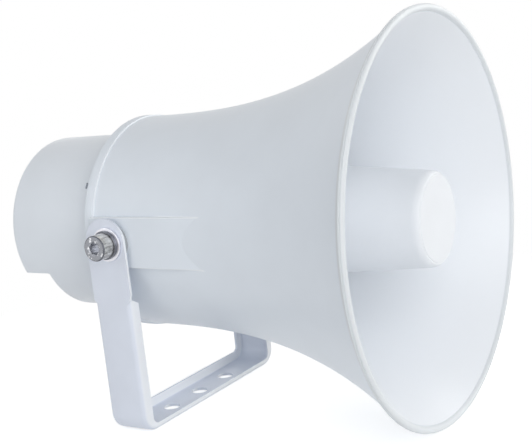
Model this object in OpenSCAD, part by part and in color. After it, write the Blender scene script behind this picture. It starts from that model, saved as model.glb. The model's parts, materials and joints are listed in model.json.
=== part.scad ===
// Re-entrant public address horn on a tilting U bracket.
// +X points out of the mouth, +Z up. The origin is on the underside of the bracket's base,
// at its middle fixing hole.

/* [Bell] */
// Outer diameter of the mouth over its rolled lip
mouth_d = 210; // [196:1:224]
// Distance from the tilt pivot forward to the mouth
mouth_reach = 160.9; // [152:0.1:175]
// Outer diameter of the bell's neck
neck_d = 120; // [116:0.5:121]
// Wall of the bell
bell_wall = 2.5; // [2:0.1:3.2]
// How late the flare opens: 1 is a straight cone, more is a later flare
flare_power = 2.65; // [2.3:0.05:3.2]
// Thickness of the rolled lip at the mouth
lip_t = 3.8; // [3.2:0.1:4.6]
// Distance from the tilt pivot back to the bell's rear face
pivot_to_back = 19.6; // [18.5:0.1:24]
// Height of the raised band round the rear of the neck
band_height = 0.75; // [0.6:0.05:1.3]
// Width of the raised band
band_w = 6; // [4:0.5:7]
// Thickness of the bell's rear wall
back_wall = 7; // [6:0.5:9]
// Radius of the rounded bottom between the rear wall and the neck
bottom_round = 12; // [8:1:16]

/* [Side pads] */
// How far the flat face of each side pad stands out from the neck
pad_height = 2; // [1.7:0.1:2.8]
// Height of each side pad
pad_h = 27; // [24:1:30]
// Length of the boss for the threaded insert inside the neck
insert_boss_l = 7; // [6:0.5:9]
// Diameter of the boss for the threaded insert
insert_boss_d = 18; // [17:0.5:22]

/* [Inner horn] */
// Outer diameter of the reflector cup at its front edge
cup_front_d = 48.2; // [44:0.2:52]
// Outer diameter of the reflector cup at its open rear edge
cup_rear_d = 70; // [62:0.5:74]
// Wall of the reflector cup
cup_wall = 2.2; // [1.8:0.1:2.8]
// Radius of the cup's rounded front edge
cup_edge_r = 3.6; // [2:0.2:5]
// How far the cup's face sits behind the mouth plane
cup_inset = 2.4; // [0:0.1:5]
// Distance from the pivot forward to the cup's open rear edge
cup_rear_reach = 8; // [4:1:16]
// Diameter of the throat bore
throat_d = 16; // [14:0.5:18]
// Bore of the tone arm at its open front end
arm_mouth_d = 26; // [24:0.5:28]
// Wall of the tone arm
arm_wall = 2.5; // [2:0.1:3]
// Gap between the tone arm's end and the inside of the cup
turn_gap = 13; // [10:0.5:18]
// Diameter of the flange at the foot of the tone arm
arm_flange_d = 60; // [56:1:66]
// Thickness of the tone arm's flange
arm_flange_t = 4; // [4:0.5:6]
// Number of vanes that hold the cup on the tone arm
vanes = 4; // [3:1:6]
// Thickness of a vane
vane_t = 2.4; // [2:0.2:3.2]
// Length of a vane along the axis
vane_l = 38; // [28:1:50]

/* [Rear cover] */
// Outer diameter of the rear cover at its rear end
cover_d = 100.8; // [99:0.2:102]
// How much wider the cover is at its front end
cover_taper = 0.8; // [0:0.1:1.6]
// Length of the rear cover
cover_l = 66.2; // [64:0.2:67]
// Wall of the rear cover
cover_wall = 2.5; // [2:0.1:3]
// Radius of the cover's rear edge
cover_edge_r = 4; // [2.5:0.5:6]
// Depth of the cable recess along the axis
recess_l = 20.5; // [18:0.5:22]
// Distance from the horn axis down to the flat roof of the cable recess
recess_drop = 22.6; // [21:0.2:25]
// Radius of the circle of cover screws
cover_screw_r = 43; // [42.5:0.1:43.5]
// Outer diameter of a cover screw column
column_d = 11.6; // [11.2:0.1:12]
// Size of the pry slot in the cover's front edge
pry_slot = [1.3, 3.2];

/* [Driver] */
// Thickness of the throat gasket
gasket_t = 1.5; // [1:0.1:2]
// Diameter of the driver's front housing
front_d = 92; // [90:0.5:93]
// Thickness of the driver's front housing
front_t = 8; // [7.5:0.5:9]
// Radius of the circle of driver screws
driver_screw_r = 41.4; // [41.2:0.1:41.8]
// Voice coil diameter, at the inside of its former
coil_d = 25.4; // [24:0.1:27]
// Outer diameter of the diaphragm's clamped rim
rim_d = 62; // [58:0.5:66]
// Thickness of the clamped rim
rim_t = 1.2; // [1:0.1:1.5]
// Size of the coil leads' terminal block, along the horn axis, across it and upwards
terminal_size = [5, 18, 5];
// Height of the diaphragm's dome
dome_h = 4; // [3:0.2:4.6]
// Thickness of the diaphragm
dome_t = 0.4; // [0.4:0.05:0.6]
// Travel of the diaphragm each way
stroke = 0.3; // [0.2:0.05:0.4]
// Diameter of the magnet ring
magnet_d = 73; // [70:0.5:74]
// Bore of the magnet ring
magnet_bore = 40; // [36:0.5:44]
// Thickness of the magnet ring
magnet_t = 12; // [10:0.5:13]
// Thickness of the top plate
top_plate_t = 4; // [3.5:0.25:5]
// Thickness of the back plate
back_plate_t = 5; // [4:0.25:5.5]
// How much smaller the plates are than the magnet
plate_inset = 2; // [1:0.25:3]

/* [Line transformer] */
// Size of the laminated core along the mounting direction, across it, and its stack height
core_size = [25, 30, 12];
// Width of the core's centre leg
core_leg = 8; // [7:0.5:9]
// Thickness of the winding on the centre leg
winding_t = 4.5; // [3.5:0.25:5]
// Height of the transformer above the horn axis
transformer_up = 8; // [5:0.5:10]
// Thickness of the transformer's strap
strap_t = 1; // [0.8:0.1:1.4]
// Thread diameter of the two transformer screws
transformer_screw_d = 3; // [2.6:0.1:3.2]
// Head diameter of the transformer screws
transformer_head_d = 5.6; // [5:0.1:6]
// Head height of the transformer screws
transformer_head_h = 2; // [1.6:0.1:2.4]

/* [Bracket] */
// Height of the tilt pivot above the underside of the base
pivot_h = 105; // [104:0.5:116]
// Thickness of the bracket's steel
bracket_t = 1.5; // [1.2:0.1:2]
// Width of the bracket's arms and base
bracket_w = 24.4; // [22:0.2:26]
// Depth of the folded stiffening edges
fold_depth = 6.8; // [4.8:0.2:7.4]
// Outer radius of the folds
fold_r = 2.8; // [2.4:0.1:3.2]
// Outer radius of the bends between the arms and the base
bend_r = 10; // [8.5:0.5:14]
// Height that is left of the front fold along the base
front_fold_h = 3.7; // [3.1:0.1:4.3]
// Radius of the corner where the arm's front fold turns into that low lip
lip_corner_r = 4; // [2.5:0.5:6]
// Height of the flat ear below the pivot before the folds start
ear_drop = 30; // [26:0.5:34]
// Length over which the folds taper off below the ear
fold_taper = 4; // [3:0.5:7]
// Width of the flat ear
ear_w = 25.4; // [24.8:0.2:28]
// How far the pivot sits in front of the base's fixing holes
pivot_x = 2.6; // [1.6:0.1:3]
// Diameter of the fixing holes in the base
fix_hole_d = 9.5; // [6:0.5:11]
// Distance between neighbouring fixing holes
fix_pitch = 27.4; // [22:0.2:32]

/* [Pivot hardware] */
// Diameter of the pivot bolt
bolt_d = 8; // [8:0.1:9]
// Length of the bolt below its head
bolt_l = 16; // [14:0.5:17]
// Diameter of the bolt's round head
head_d = 13.6; // [13:0.1:14.6]
// Height of the bolt head
head_h = 7.8; // [7:0.1:8.6]
// Width across the flats of the bolt's hexagon socket
socket_af = 6; // [5:0.25:7]
// Depth of the hexagon socket
socket_depth = 4; // [3:0.25:4.5]
// Diameter of the flat washer
washer_d = 18; // [16.4:0.2:19]
// Thickness of the flat washer
washer_t = 1.6; // [1.2:0.1:2]
// Diameter of the spring washer
spring_washer_d = 15.4; // [14.4:0.1:16]
// Thickness of the spring washer
spring_washer_t = 1.8; // [1.6:0.1:2.4]
// Diameter of the friction washer between the arm and the pad
friction_washer_d = 21; // [18:0.5:24]
// Thickness of the friction washer
friction_washer_t = 2; // [1.5:0.1:2.5]
// Diameter of the threaded insert
insert_d = 12; // [11.5:0.25:13]
// Radial running clearance of the bolt in the arm's hole
pivot_play = 0.06; // [0.03:0.01:0.09]

/* [Screws] */
// Thread diameter of the housing screws
screw_d = 4; // [3.5:0.1:4]
// Head diameter of the housing screws
screw_head_d = 7.4; // [7:0.1:7.6]
// Head height of the housing screws
screw_head_h = 2.6; // [2.2:0.1:3]
// How far the cover screws run into the bell's bosses
cover_screw_bite = 10; // [8:0.5:12]

/* [Cable gland] */
// Outer diameter of the gland's thread
gland_d = 12; // [11:0.25:13]
// Width across the flats of the gland's collar and nut
gland_af = 15; // [14.5:0.25:16]
// Length of the gland's cap outside the collar
gland_cap_l = 8; // [6:0.5:9]
// Bore of the gland's seal
gland_bore = 6; // [5:0.25:7]
// Length of the gland's thread beyond the wall
gland_thread_l = 5; // [4.5:0.5:7]

/* [Hidden] */
$fn = 96;

// Stations along the horn axis, measured from the pivot, positive towards the mouth
x_back = -pivot_to_back;
x_floor = x_back + back_wall;
x_neck = x_back + band_w;
x_cup_face = mouth_reach - cup_inset;
x_arm_end = x_cup_face - cup_wall - turn_gap;
x_gasket = x_back - gasket_t;
x_front = x_gasket - front_t;
x_rim = x_front - rim_t;
x_top = x_rim - top_plate_t;
x_magnet = x_top - magnet_t;
x_motor = x_magnet - back_plate_t;
x_cover = x_back - cover_l;
x_recess = x_cover + recess_l;
x_boss = x_front - 2;

// Radii
mouth_r = mouth_d / 2;
lip_r = lip_t / 2;
neck_r = neck_d / 2;
band_r = neck_r + band_height;
flare_end_r = mouth_r - lip_r * 0.55;
x_lip = mouth_reach - lip_r;
cover_r = cover_d / 2;
cover_front_r = cover_r + cover_taper / 2;
coil_wall = 0.6;
coil_gap = 0.35;
pole_r = coil_d / 2 - coil_gap;
gap_r = coil_d / 2 + coil_wall + coil_gap;
insert_l = 10;
pad_r = neck_r + pad_height;
arm_in = pad_r + friction_washer_t;
arm_out = arm_in + bracket_t;
cover_angles = [-15, 60, 120, 195];
driver_angles = [22.5, 157.5, 240, 300];
steps = 36;
// Slack left where one piece sits inside another, and how far cutting shapes run past a face
seat = 0.05;
over = 1;
// Radial play of a screw in its through hole and of a column in its hole
screw_play = 0.2;
column_play = 0.4;
// The three screws that hold the tone arm, on the arm's flange
arm_screw_r = arm_flange_d / 2 - 7;
arm_screw_angles = [90, 210, 330];
x_arm_head = x_back + screw_head_h + screw_play;
// The dome's cavity in the driver's front housing stays clear of the dome at full travel
cavity_r = coil_d / 2 + 1.5;
x_cavity = x_front + 1.1 + stroke;
// Middle of the clamped rim, where the diaphragm rests
x_dome = x_rim + rim_t / 2;
dome_edge_r = coil_d / 2 + 7;
// Material under a cover screw's head, at the foot of its column
column_floor = 3;
// The cover's gasket lies in a rebate inside the cover's front edge, so it doesn't show
cover_gasket_t = 1;
rebate_r = cover_front_r - cover_wall / 2;
// Length of the strap's foot beside the core
strap_foot = 9;
strap_screw_y = core_size[1] / 2 + strap_t + strap_foot / 2;
// Wall of the gland's seal
seal_wall = 0.7;
gland_collar_t = 3;
gland_nut_t = 3.5;

// The flare: radius of the outside of the bell at a share u of its length
function flare(u) = neck_r + (flare_end_r - neck_r) * pow(u, flare_power);
function flare_x(u) = x_neck + u * (x_lip - x_neck);
function flare_slope(u) = (flare_end_r - neck_r) * flare_power * pow(u, flare_power - 1)
  / (x_lip - x_neck);
// The inside of the bell, one wall in from the flare, square to it
function inner(u) = flare(u) - bell_wall * sqrt(1 + pow(flare_slope(u), 2));
// Share of the flare's length at a station
function share(x) = max(0, (x - x_neck) / (x_lip - x_neck));
// Station at which the flare reaches a radius
function flare_at(r) = flare_x(pow((r - neck_r) / (flare_end_r - neck_r), 1 / flare_power));
// Points of an arc about a centre
function arc(c, r, from, to, n) = [for (i = [0:n]) let (a = from + (to - from) * i / n)
  [c[0] + r * cos(a), c[1] + r * sin(a)]];
// The cup's outer and inner radius at a station
function cup_r(x) = cup_rear_d / 2 + (cup_front_d - cup_rear_d) / 2
  * (x - cup_rear_reach) / (x_cup_face - cup_rear_reach);
function cup_in(x) = cup_r(x) - cup_wall;
// The tone arm's bore at a station
function arm_bore(x) = throat_d / 2 + (arm_mouth_d - throat_d) / 2
  * pow((x - x_back) / (x_arm_end - x_back), 1.3);

// The horn's own frame: its origin on the pivot axis
module horn_frame() translate([pivot_x, 0, pivot_h]) children();
// Turns a shape built up along Z so that it lies along the horn axis
module on_axis() horn_frame() rotate([0, 90, 0]) children();
module lathe(points) on_axis() rotate_extrude() polygon(points);
// A tube or disc along the horn axis between two stations
module disc(r, x1, x2, bore = 0) on_axis() translate([0, 0, x1]) difference() {
  cylinder(r = r, h = x2 - x1);
  if (bore > 0) translate([0, 0, -over]) cylinder(r = bore, h = x2 - x1 + 2 * over);
}
// Copies of a shape round the horn axis, at a radius and a list of angles from +Y towards +Z
module ring_of(r, angles) on_axis() for (a = angles)
  translate([-r * sin(a), r * cos(a), 0]) children();
module rod(r, x1, x2) translate([0, 0, x1]) cylinder(r = r, h = x2 - x1);
// A pair of shapes on the pivot axis, one on each side, built outwards from the horn axis
module pivot_pair() horn_frame() for (side = [0, 180]) rotate([90, 0, side]) children();
module pivot_disc(r, y1, y2, bore = 0) pivot_pair() translate([0, 0, y1]) difference() {
  cylinder(r = r, h = y2 - y1);
  if (bore > 0) translate([0, 0, -over]) cylinder(r = bore, h = y2 - y1 + 2 * over);
}

// The pads run forwards until the flare swallows their corners
pad_reach = flare_at(norm([pad_r, pad_h / 2])) + 4;

module bell_inside() {
  c = [inner(0) - bottom_round, x_floor + bottom_round];
  u0 = share(x_floor + bottom_round);
  lathe(concat([[0, x_floor]], arc(c, bottom_round, -90, 0, 8),
    [for (i = [1:steps]) let (u = u0 + (1 - u0) * i / steps) [inner(u), flare_x(u)]],
    [[inner(1), mouth_reach + 5], [0, mouth_reach + 5]]));
}

module bell() color([0.93, 0.94, 0.95]) difference() {
  union() {
    difference() {
      union() {
        lathe(concat([[0, x_back], [band_r - 0.5, x_back], [band_r, x_back + 0.5],
          [band_r, x_neck - 0.4], [flare(0), x_neck]],
          [for (i = [1:steps]) [flare(i / steps), flare_x(i / steps)]],
          arc([mouth_r - lip_r, x_lip], lip_r, 0, 180, 12), [[0, x_lip]]));
        horn_frame() translate([x_neck, -pad_r, -pad_h / 2])
          cube([pad_reach - x_neck, 2 * pad_r, pad_h]);
      }
      bell_inside();
    }
    intersection() {
      pivot_disc(insert_boss_d / 2, inner(0) - insert_boss_l, neck_r);
      disc(neck_r - bell_wall / 2, x_floor, mouth_reach);
    }
    intersection() {
      ring_of(cover_screw_r, cover_angles) rod(column_d / 2, x_boss, x_back + 1);
      disc(cover_r - cover_wall - 0.6, x_boss, x_back + 1);
    }
  }
  disc(throat_d / 2 + arm_wall + seat, x_back - over, x_floor + over);
  pivot_disc(insert_d / 2, pad_r - insert_l, pad_r + over);
  pivot_disc(bolt_d / 2 + screw_play, pad_r - insert_l - 2.4, pad_r);
  ring_of(cover_screw_r, cover_angles) rod(screw_d / 2, x_boss - over, x_floor - 2);
  ring_of(driver_screw_r, driver_angles) rod(screw_d / 2, x_back - over, x_floor - 1.5);
  ring_of(arm_screw_r, arm_screw_angles) {
    rod(screw_d / 2 + screw_play, x_back - over, x_floor + over);
    rod(screw_head_d / 2 + screw_play, x_back - over, x_arm_head);
  }
}

module tone_arm() color([0.9, 0.91, 0.92]) difference() {
  union() {
    lathe(concat([[0, x_back]],
      [[throat_d / 2 + arm_wall, x_back], [throat_d / 2 + arm_wall, x_floor],
      [arm_flange_d / 2, x_floor], [arm_flange_d / 2, x_floor + arm_flange_t - 1],
      [arm_flange_d / 2 - 1, x_floor + arm_flange_t]],
      [for (i = [1:12]) let (x = x_floor + arm_flange_t + (x_arm_end - x_floor - arm_flange_t)
        * i / 12) [arm_bore(x) + arm_wall + (i == 1 ? 1 : 0), x]], [[0, x_arm_end]]));
    intersection() {
      horn_frame() for (i = [0:vanes - 1]) rotate([45 + i * 360 / vanes, 0, 0])
        translate([cup_rear_reach + 4, 0, -vane_t / 2]) cube([vane_l, cup_rear_d, vane_t]);
      lathe([[0, cup_rear_reach], [cup_in(cup_rear_reach) - seat, cup_rear_reach],
        [cup_in(x_arm_end) - seat, x_arm_end], [0, x_arm_end]]);
    }
  }
  lathe(concat([[0, x_back - 1], [throat_d / 2, x_back - 1]],
    [for (i = [0:12]) let (x = x_back + (x_arm_end - x_back) * i / 12) [arm_bore(x), x]],
    [[arm_bore(x_arm_end), x_arm_end + 1], [0, x_arm_end + 1]]));
  ring_of(arm_screw_r, arm_screw_angles)
    rod(screw_d / 2, x_floor - over, x_floor + arm_flange_t - 1);
}

module reflector_cup() color([0.93, 0.94, 0.95]) {
  in_r = max(cup_edge_r - cup_wall, 0.4);
  front = cup_r(x_cup_face - cup_edge_r);
  in_front = front - cup_wall;
  lathe(concat([[0, x_cup_face - cup_wall]],
    arc([in_front - in_r, x_cup_face - cup_wall - in_r], in_r, 90, 0, 4),
    [[cup_in(cup_rear_reach), cup_rear_reach], [cup_r(cup_rear_reach), cup_rear_reach]],
    arc([front - cup_edge_r, x_cup_face - cup_edge_r], cup_edge_r, 0, 90, 8),
    [[0, x_cup_face]]));
}

// A pan head screw along the horn axis: under its head at x, its tip at tip
module pan_screw(x, tip) {
  rod(screw_d / 2, x, tip);
  translate([0, 0, x - screw_head_h]) difference() {
    cylinder(r1 = screw_head_d / 2 - 0.8, r2 = screw_head_d / 2, h = screw_head_h);
    for (a = [0, 90]) rotate([0, 0, a]) translate([-1.9, -0.4, -1]) cube([3.8, 0.8, 2.4]);
  }
}

module tone_arm_screws() color([0.75, 0.76, 0.78])
  ring_of(arm_screw_r, arm_screw_angles) pan_screw(x_arm_head, x_floor + arm_flange_t - 1.4);

module throat_gasket() color([0.12, 0.12, 0.12]) difference() {
  disc(front_d / 2, x_gasket, x_back, throat_d / 2);
  ring_of(driver_screw_r, driver_angles) rod(screw_d / 2 + screw_play, x_gasket - over, x_back + over);
  ring_of(cover_screw_r, cover_angles) rod(column_d / 2 + column_play, x_gasket - over, x_back + over);
}

module driver_front() color([0.16, 0.16, 0.17]) difference() {
  lathe(concat([[throat_d / 2, x_gasket], [front_d / 2, x_gasket], [front_d / 2, x_front],
    [rim_d / 2 + seat, x_front], [dome_edge_r + 3, x_cavity], [cavity_r, x_cavity]],
    [for (i = [1:5]) let (r = cavity_r + (throat_d / 2 - cavity_r) * i / 5)
      [r, x_cavity + dome_h * (1 - pow(r / cavity_r, 2))]]));
  ring_of(driver_screw_r, driver_angles) rod(screw_d / 2 + screw_play, x_front - over, x_gasket + over);
  ring_of(cover_screw_r, cover_angles) rod(column_d / 2 + column_play, x_front - over, x_gasket + over);
}

module phase_plug() color([0.2, 0.2, 0.21]) {
  tip = x_back + 6;
  tail = x_cavity + dome_h;
  plug_r = throat_d / 2 - 3.6;
  spoke_t = 1.2;
  spoke_l = 1;
  union() {
    lathe([[0, tail + 0.3], [plug_r - 0.2, tail], [plug_r, tail + 0.8], [3, x_gasket - 0.5], [0, tip]]);
    intersection() {
      horn_frame() for (i = [0:2]) rotate([i * 120, 0, 0])
        translate([tail + 0.8, 0, -spoke_t / 2]) cube([spoke_l, throat_d, spoke_t]);
      disc(throat_d / 2 - seat, tail, x_gasket);
    }
  }
}

// The dome, with the roll of the suspension round it
module diaphragm() color([0.45, 0.28, 0.14]) {
  r = coil_d / 2;
  lathe(concat([for (i = [0:8]) [r * i / 8, x_dome + dome_h * (1 - pow(i / 8, 2))]],
    [[r + 4, x_dome + 0.9], [dome_edge_r, x_dome + 0.2], [dome_edge_r, x_dome + 0.2 - dome_t],
    [r + 4, x_dome + 0.9 - dome_t]],
    [for (i = [8:-1:0]) [max(r * i / 8 - (i == 0 ? 0 : 0.05), 0),
      x_dome - dome_t + dome_h * (1 - pow(i / 8, 2))]]));
}

module voice_coil() color([0.72, 0.4, 0.2])
  disc(coil_d / 2 + coil_wall, x_top - 2, x_dome - dome_t - 0.02, coil_d / 2);

// The clamped rim and the last wave of the suspension, ending just short of the moving dome
module surround() color([0.5, 0.33, 0.18]) {
  r = dome_edge_r + 0.3;
  lathe([[rim_d / 2, x_rim], [rim_d / 2, x_front], [r + 4, x_front], [r + 2, x_dome + 0.9],
    [r, x_dome + 0.2], [r, x_dome - 0.2], [r + 2, x_dome + 0.4], [r + 3.6, x_dome - 0.2],
    [r + 4, x_rim]]);
}

module top_plate() color([0.7, 0.71, 0.73])
  disc(magnet_d / 2 - plate_inset, x_top, x_rim, gap_r);

module magnet() color([0.22, 0.22, 0.24])
  disc(magnet_d / 2, x_magnet, x_top, magnet_bore / 2);

module back_plate() color([0.7, 0.71, 0.73]) difference() {
  union() {
    disc(magnet_d / 2 - plate_inset, x_motor, x_magnet);
    disc(pole_r, x_motor, x_rim - 0.6);
  }
  horn_frame() for (side = [-1, 1])
    translate([x_motor - over, side * strap_screw_y, transformer_up])
      rotate([0, 90, 0]) cylinder(d = transformer_screw_d, h = 3 + over);
}

module driver_screws() color([0.75, 0.76, 0.78]) ring_of(driver_screw_r, driver_angles)
  pan_screw(x_front, x_back + back_wall - 2);

// Carries the coil's two leads, on the rear of the front housing above the magnet
module terminal_block() color([0.3, 0.2, 0.12]) horn_frame() {
  size = terminal_size;
  low = magnet_d / 2 + 1.8;
  tag = [5, 3, 0.8];
  pitch = size[1] * 0.55;
  difference() {
    union() {
      translate([x_front - size[0], -size[1] / 2, low]) cube(size);
      for (side = [-1, 1])
        translate([x_front - size[0] - tag[0] + over, side * pitch / 2 - tag[1] / 2, low + 2.2]) cube(tag);
    }
    for (side = [-1, 1]) translate([x_front - size[0] - 2.6, side * pitch / 2, low])
      cylinder(d = 1.4, h = size[2]);
  }
}

// The transformer's place: its mounting face on the back plate, its middle above the axis
module transformer_frame() horn_frame() translate([x_motor, 0, transformer_up])
  mirror([1, 0, 0]) children();

// A shell core: a centre leg of full width between two windows, closed by half-width legs
module transformer_core() color([0.45, 0.45, 0.47]) transformer_frame() {
  limb = core_leg / 2;
  window = core_size[1] / 2 - 2 * limb;
  difference() {
    translate([0, -core_size[1] / 2, -core_size[2] / 2]) cube(core_size);
    for (side = [-1, 1]) translate([limb, side * (limb + window / 2) - window / 2, -core_size[2]])
      cube([core_size[0] - core_leg, window, core_size[2] * 2]);
  }
}

module transformer_winding() color([0.72, 0.42, 0.22]) transformer_frame() difference() {
  translate([core_leg / 2 + seat, -core_leg / 2 - winding_t, -core_size[2] / 2 - winding_t])
    cube([core_size[0] - core_leg - 2 * seat, core_leg + 2 * winding_t,
      core_size[2] + 2 * winding_t]);
  translate([0, -core_leg / 2 - seat, -core_size[2] / 2 - seat])
    cube([core_size[0], core_leg + 2 * seat, core_size[2] + 2 * seat]);
}

module transformer_strap() color([0.78, 0.78, 0.8]) transformer_frame() difference() {
  w = core_size[2] - 2;
  y = core_size[1] / 2;
  translate([0, 0, -w / 2]) linear_extrude(w) difference() {
    union() {
      translate([0, -y - strap_t]) square([core_size[0] + strap_t, 2 * y + 2 * strap_t]);
      translate([0, -y - strap_t - strap_foot])
        square([strap_t, 2 * (y + strap_t + strap_foot)]);
    }
    translate([-over, -y]) square([core_size[0] + over, 2 * y]);
  }
  for (side = [-1, 1]) translate([-over, side * strap_screw_y, 0])
    rotate([0, 90, 0]) cylinder(d = transformer_screw_d + 0.3, h = strap_t + 2 * over);
}

module transformer_screws() color([0.75, 0.76, 0.78]) transformer_frame() for (side = [-1, 1])
  translate([0, side * strap_screw_y, 0]) rotate([0, 90, 0]) {
    translate([0, 0, -2.6]) cylinder(d = transformer_screw_d, h = 2.6 + strap_t);
    translate([0, 0, strap_t])
      cylinder(d1 = transformer_head_d, d2 = transformer_head_d - 1, h = transformer_head_h);
  }

// The block that the cable recess takes out of the cover, grown by a wall
module recess_block(grow) horn_frame()
  translate([x_cover - over, -cover_d, -recess_drop - cover_d])
    cube([recess_l + over + grow, 2 * cover_d, cover_d + grow]);

module rear_cover() color([0.93, 0.94, 0.95]) difference() {
  union() {
    difference() {
      lathe(concat([[0, x_cover]],
        arc([cover_r - cover_edge_r, x_cover + cover_edge_r], cover_edge_r, -90, 0, 6),
        [[cover_front_r, x_back], [0, x_back]]));
      recess_block(0);
      difference() {
        lathe([[0, x_cover + cover_wall], [cover_r - cover_wall - 1.5, x_cover + cover_wall],
          [cover_r - cover_wall, x_cover + cover_wall + 1.5],
          [cover_front_r - cover_wall, x_back + 1], [0, x_back + 1]]);
        recess_block(cover_wall);
      }
    }
    intersection() {
      ring_of(cover_screw_r, cover_angles) rod(column_d / 2, x_cover + 1, x_boss);
      lathe([[0, x_cover], [cover_r - 1, x_cover], [cover_front_r - 1, x_back], [0, x_back]]);
    }
  }
  ring_of(cover_screw_r, cover_angles) {
    rod(screw_head_d / 2 + screw_play, x_cover - over, x_boss - column_floor);
    rod(screw_d / 2 + screw_play, x_cover, x_boss + over);
  }
  disc(rebate_r, x_back - cover_gasket_t, x_back + over);
  gland_place() translate([0, 0, -over]) cylinder(d = gland_d + 2 * seat, h = cover_wall + 2 * over);
  horn_frame() rotate([-28, 0, 0])
    translate([x_back - pry_slot[0], -cover_front_r - over, -pry_slot[1] / 2])
      cube([pry_slot[0] + over, cover_wall + 2 * over, pry_slot[1]]);
}

module cover_gasket() color([0.12, 0.12, 0.12])
  disc(rebate_r, x_back - cover_gasket_t, x_back, cover_front_r - cover_wall);

module cover_screws() color([0.75, 0.76, 0.78]) ring_of(cover_screw_r, cover_angles)
  pan_screw(x_boss - column_floor, x_boss + cover_screw_bite);

// The gland's place: on the recess wall's rear face, its axis pointing forwards
module gland_place() horn_frame()
  translate([x_recess, 0, -(recess_drop + cover_r) / 2]) rotate([0, 90, 0]) children();

module cable_gland() color([0.2, 0.2, 0.2]) gland_place() difference() {
  union() {
    translate([0, 0, -gland_collar_t]) cylinder(d = gland_af / cos(30), h = gland_collar_t, $fn = 6);
    translate([0, 0, -gland_cap_l - 1]) cylinder(d = gland_d - 1, h = gland_cap_l);
    cylinder(d = gland_d, h = cover_wall + gland_thread_l);
  }
  translate([0, 0, -gland_cap_l - 2]) cylinder(d = gland_bore + 2 * seal_wall, h = 3 * gland_cap_l);
}

module gland_seal() color([0.1, 0.1, 0.1]) gland_place() translate([0, 0, -gland_cap_l - 1])
  difference() {
    cylinder(d = gland_bore + 2 * seal_wall, h = gland_cap_l);
    translate([0, 0, -over]) cylinder(d = gland_bore, h = gland_cap_l + 2 * over);
  }

module gland_cap() color([0.2, 0.2, 0.2]) gland_place() difference() {
  union() {
    translate([0, 0, -gland_cap_l + 1])
      cylinder(d = gland_af / cos(30), h = gland_cap_l - gland_collar_t - 1, $fn = 6);
    translate([0, 0, -gland_cap_l - 2.5]) cylinder(d1 = gland_d - 1, d2 = gland_af - 0.6, h = 3.5);
  }
  translate([0, 0, -gland_cap_l - 1]) cylinder(d = gland_d - 1, h = 2 * gland_cap_l);
  translate([0, 0, -3 * gland_cap_l]) cylinder(d = gland_bore + 1, h = 4 * gland_cap_l);
}

module gland_nut() color([0.2, 0.2, 0.2]) gland_place() translate([0, 0, cover_wall]) difference() {
  cylinder(d = gland_af / cos(30), h = gland_nut_t, $fn = 6);
  translate([0, 0, -over]) cylinder(d = gland_d, h = gland_nut_t + 2 * over);
}

// Section of the bracket's channel: x across the strip from its middle, y inwards from its face
module channel() {
  h = bracket_w / 2;
  r = fold_r;
  ri = fold_r - bracket_t;
  difference() {
    union() {
      translate([-h + r, 0]) square([bracket_w - 2 * r, fold_depth]);
      translate([-h, r]) square([bracket_w, fold_depth - r]);
      for (side = [-1, 1]) translate([side * (h - r), r]) circle(r);
    }
    translate([-h + r, bracket_t]) square([bracket_w - 2 * r, fold_depth]);
    translate([-h + bracket_t, r]) square([bracket_w - 2 * bracket_t, fold_depth]);
    for (side = [-1, 1]) translate([side * (h - r), r]) circle(ri);
  }
}

module bracket() color([0.9, 0.91, 0.93]) {
  ear_z = pivot_h + 1;
  fold_z = pivot_h - ear_drop;
  // The ear's rear edge is flush with the arm's
  ear_rear = -bracket_w / 2;
  ear_front = ear_rear + ear_w;
  lip_half = arm_out - fold_depth;
  base_l = 2 * (arm_out - bend_r);
  difference() {
    union() {
      // Base
      rotate([90, 0, 0]) translate([0, 0, -(arm_out - bend_r)])
        linear_extrude(base_l) channel();
      for (side = [0, 180]) rotate([0, 0, side]) {
        // Arm
        translate([0, -arm_out, bend_r]) linear_extrude(fold_z - bend_r) channel();
        // Bend between them
        translate([0, -arm_out + bend_r, bend_r]) mirror([0, 1, 0]) rotate([0, 90, 0])
          rotate_extrude(angle = 90) translate([bend_r, 0]) rotate([0, 0, 90]) channel();
      }
      // Flat ears
      for (side = [-1, 1]) translate([0, side > 0 ? arm_out : -arm_in, 0])
        rotate([90, 0, 0]) linear_extrude(bracket_t) {
          translate([ear_rear + ear_w / 2, ear_z]) circle(ear_w / 2);
          // Its front edge runs into the fold's face, and its corners run out on the fold's round
          polygon([[ear_rear, fold_z], [ear_rear, ear_z], [ear_front, ear_z],
            [ear_front, fold_z + fold_r], [-ear_rear, fold_z], [-ear_rear, fold_z - 0.6],
            [-ear_rear - fold_r, fold_z - fold_taper], [ear_rear + fold_r, fold_z - fold_taper],
            [ear_rear, fold_z - 0.6]]);
        }
    }
    // The folds taper off below the ears
    for (side = [0, 180]) rotate([90, 0, 90 + side]) linear_extrude(bracket_w + 2 * over, center = true)
      polygon([[arm_in, fold_z + 1], [arm_in - fold_depth, fold_z + 1],
        [arm_in - fold_depth, fold_z - fold_taper], [arm_in, fold_z - 0.3]]);
    // The front fold is cut back along the base
    translate([bracket_w / 2 - bracket_t - 0.4, 0, front_fold_h]) rotate([90, 0, 90])
      linear_extrude(bracket_t + over) {
        translate([-lip_half, lip_corner_r]) square([2 * lip_half, bend_r]);
        translate([-lip_half + lip_corner_r, 0]) square([2 * (lip_half - lip_corner_r), bend_r]);
        for (side = [-1, 1]) translate([side * (lip_half - lip_corner_r), lip_corner_r])
          circle(lip_corner_r);
      }
    // Fixing holes
    for (i = [-1:1]) translate([0, i * fix_pitch, -over])
      cylinder(d = fix_hole_d, h = bracket_t + 2 * over);
    // Pivot holes
    translate([pivot_x, arm_out + over, pivot_h]) rotate([90, 0, 0])
      cylinder(r = bolt_d / 2 + pivot_play, h = 2 * (arm_out + over));
  }
}

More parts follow.
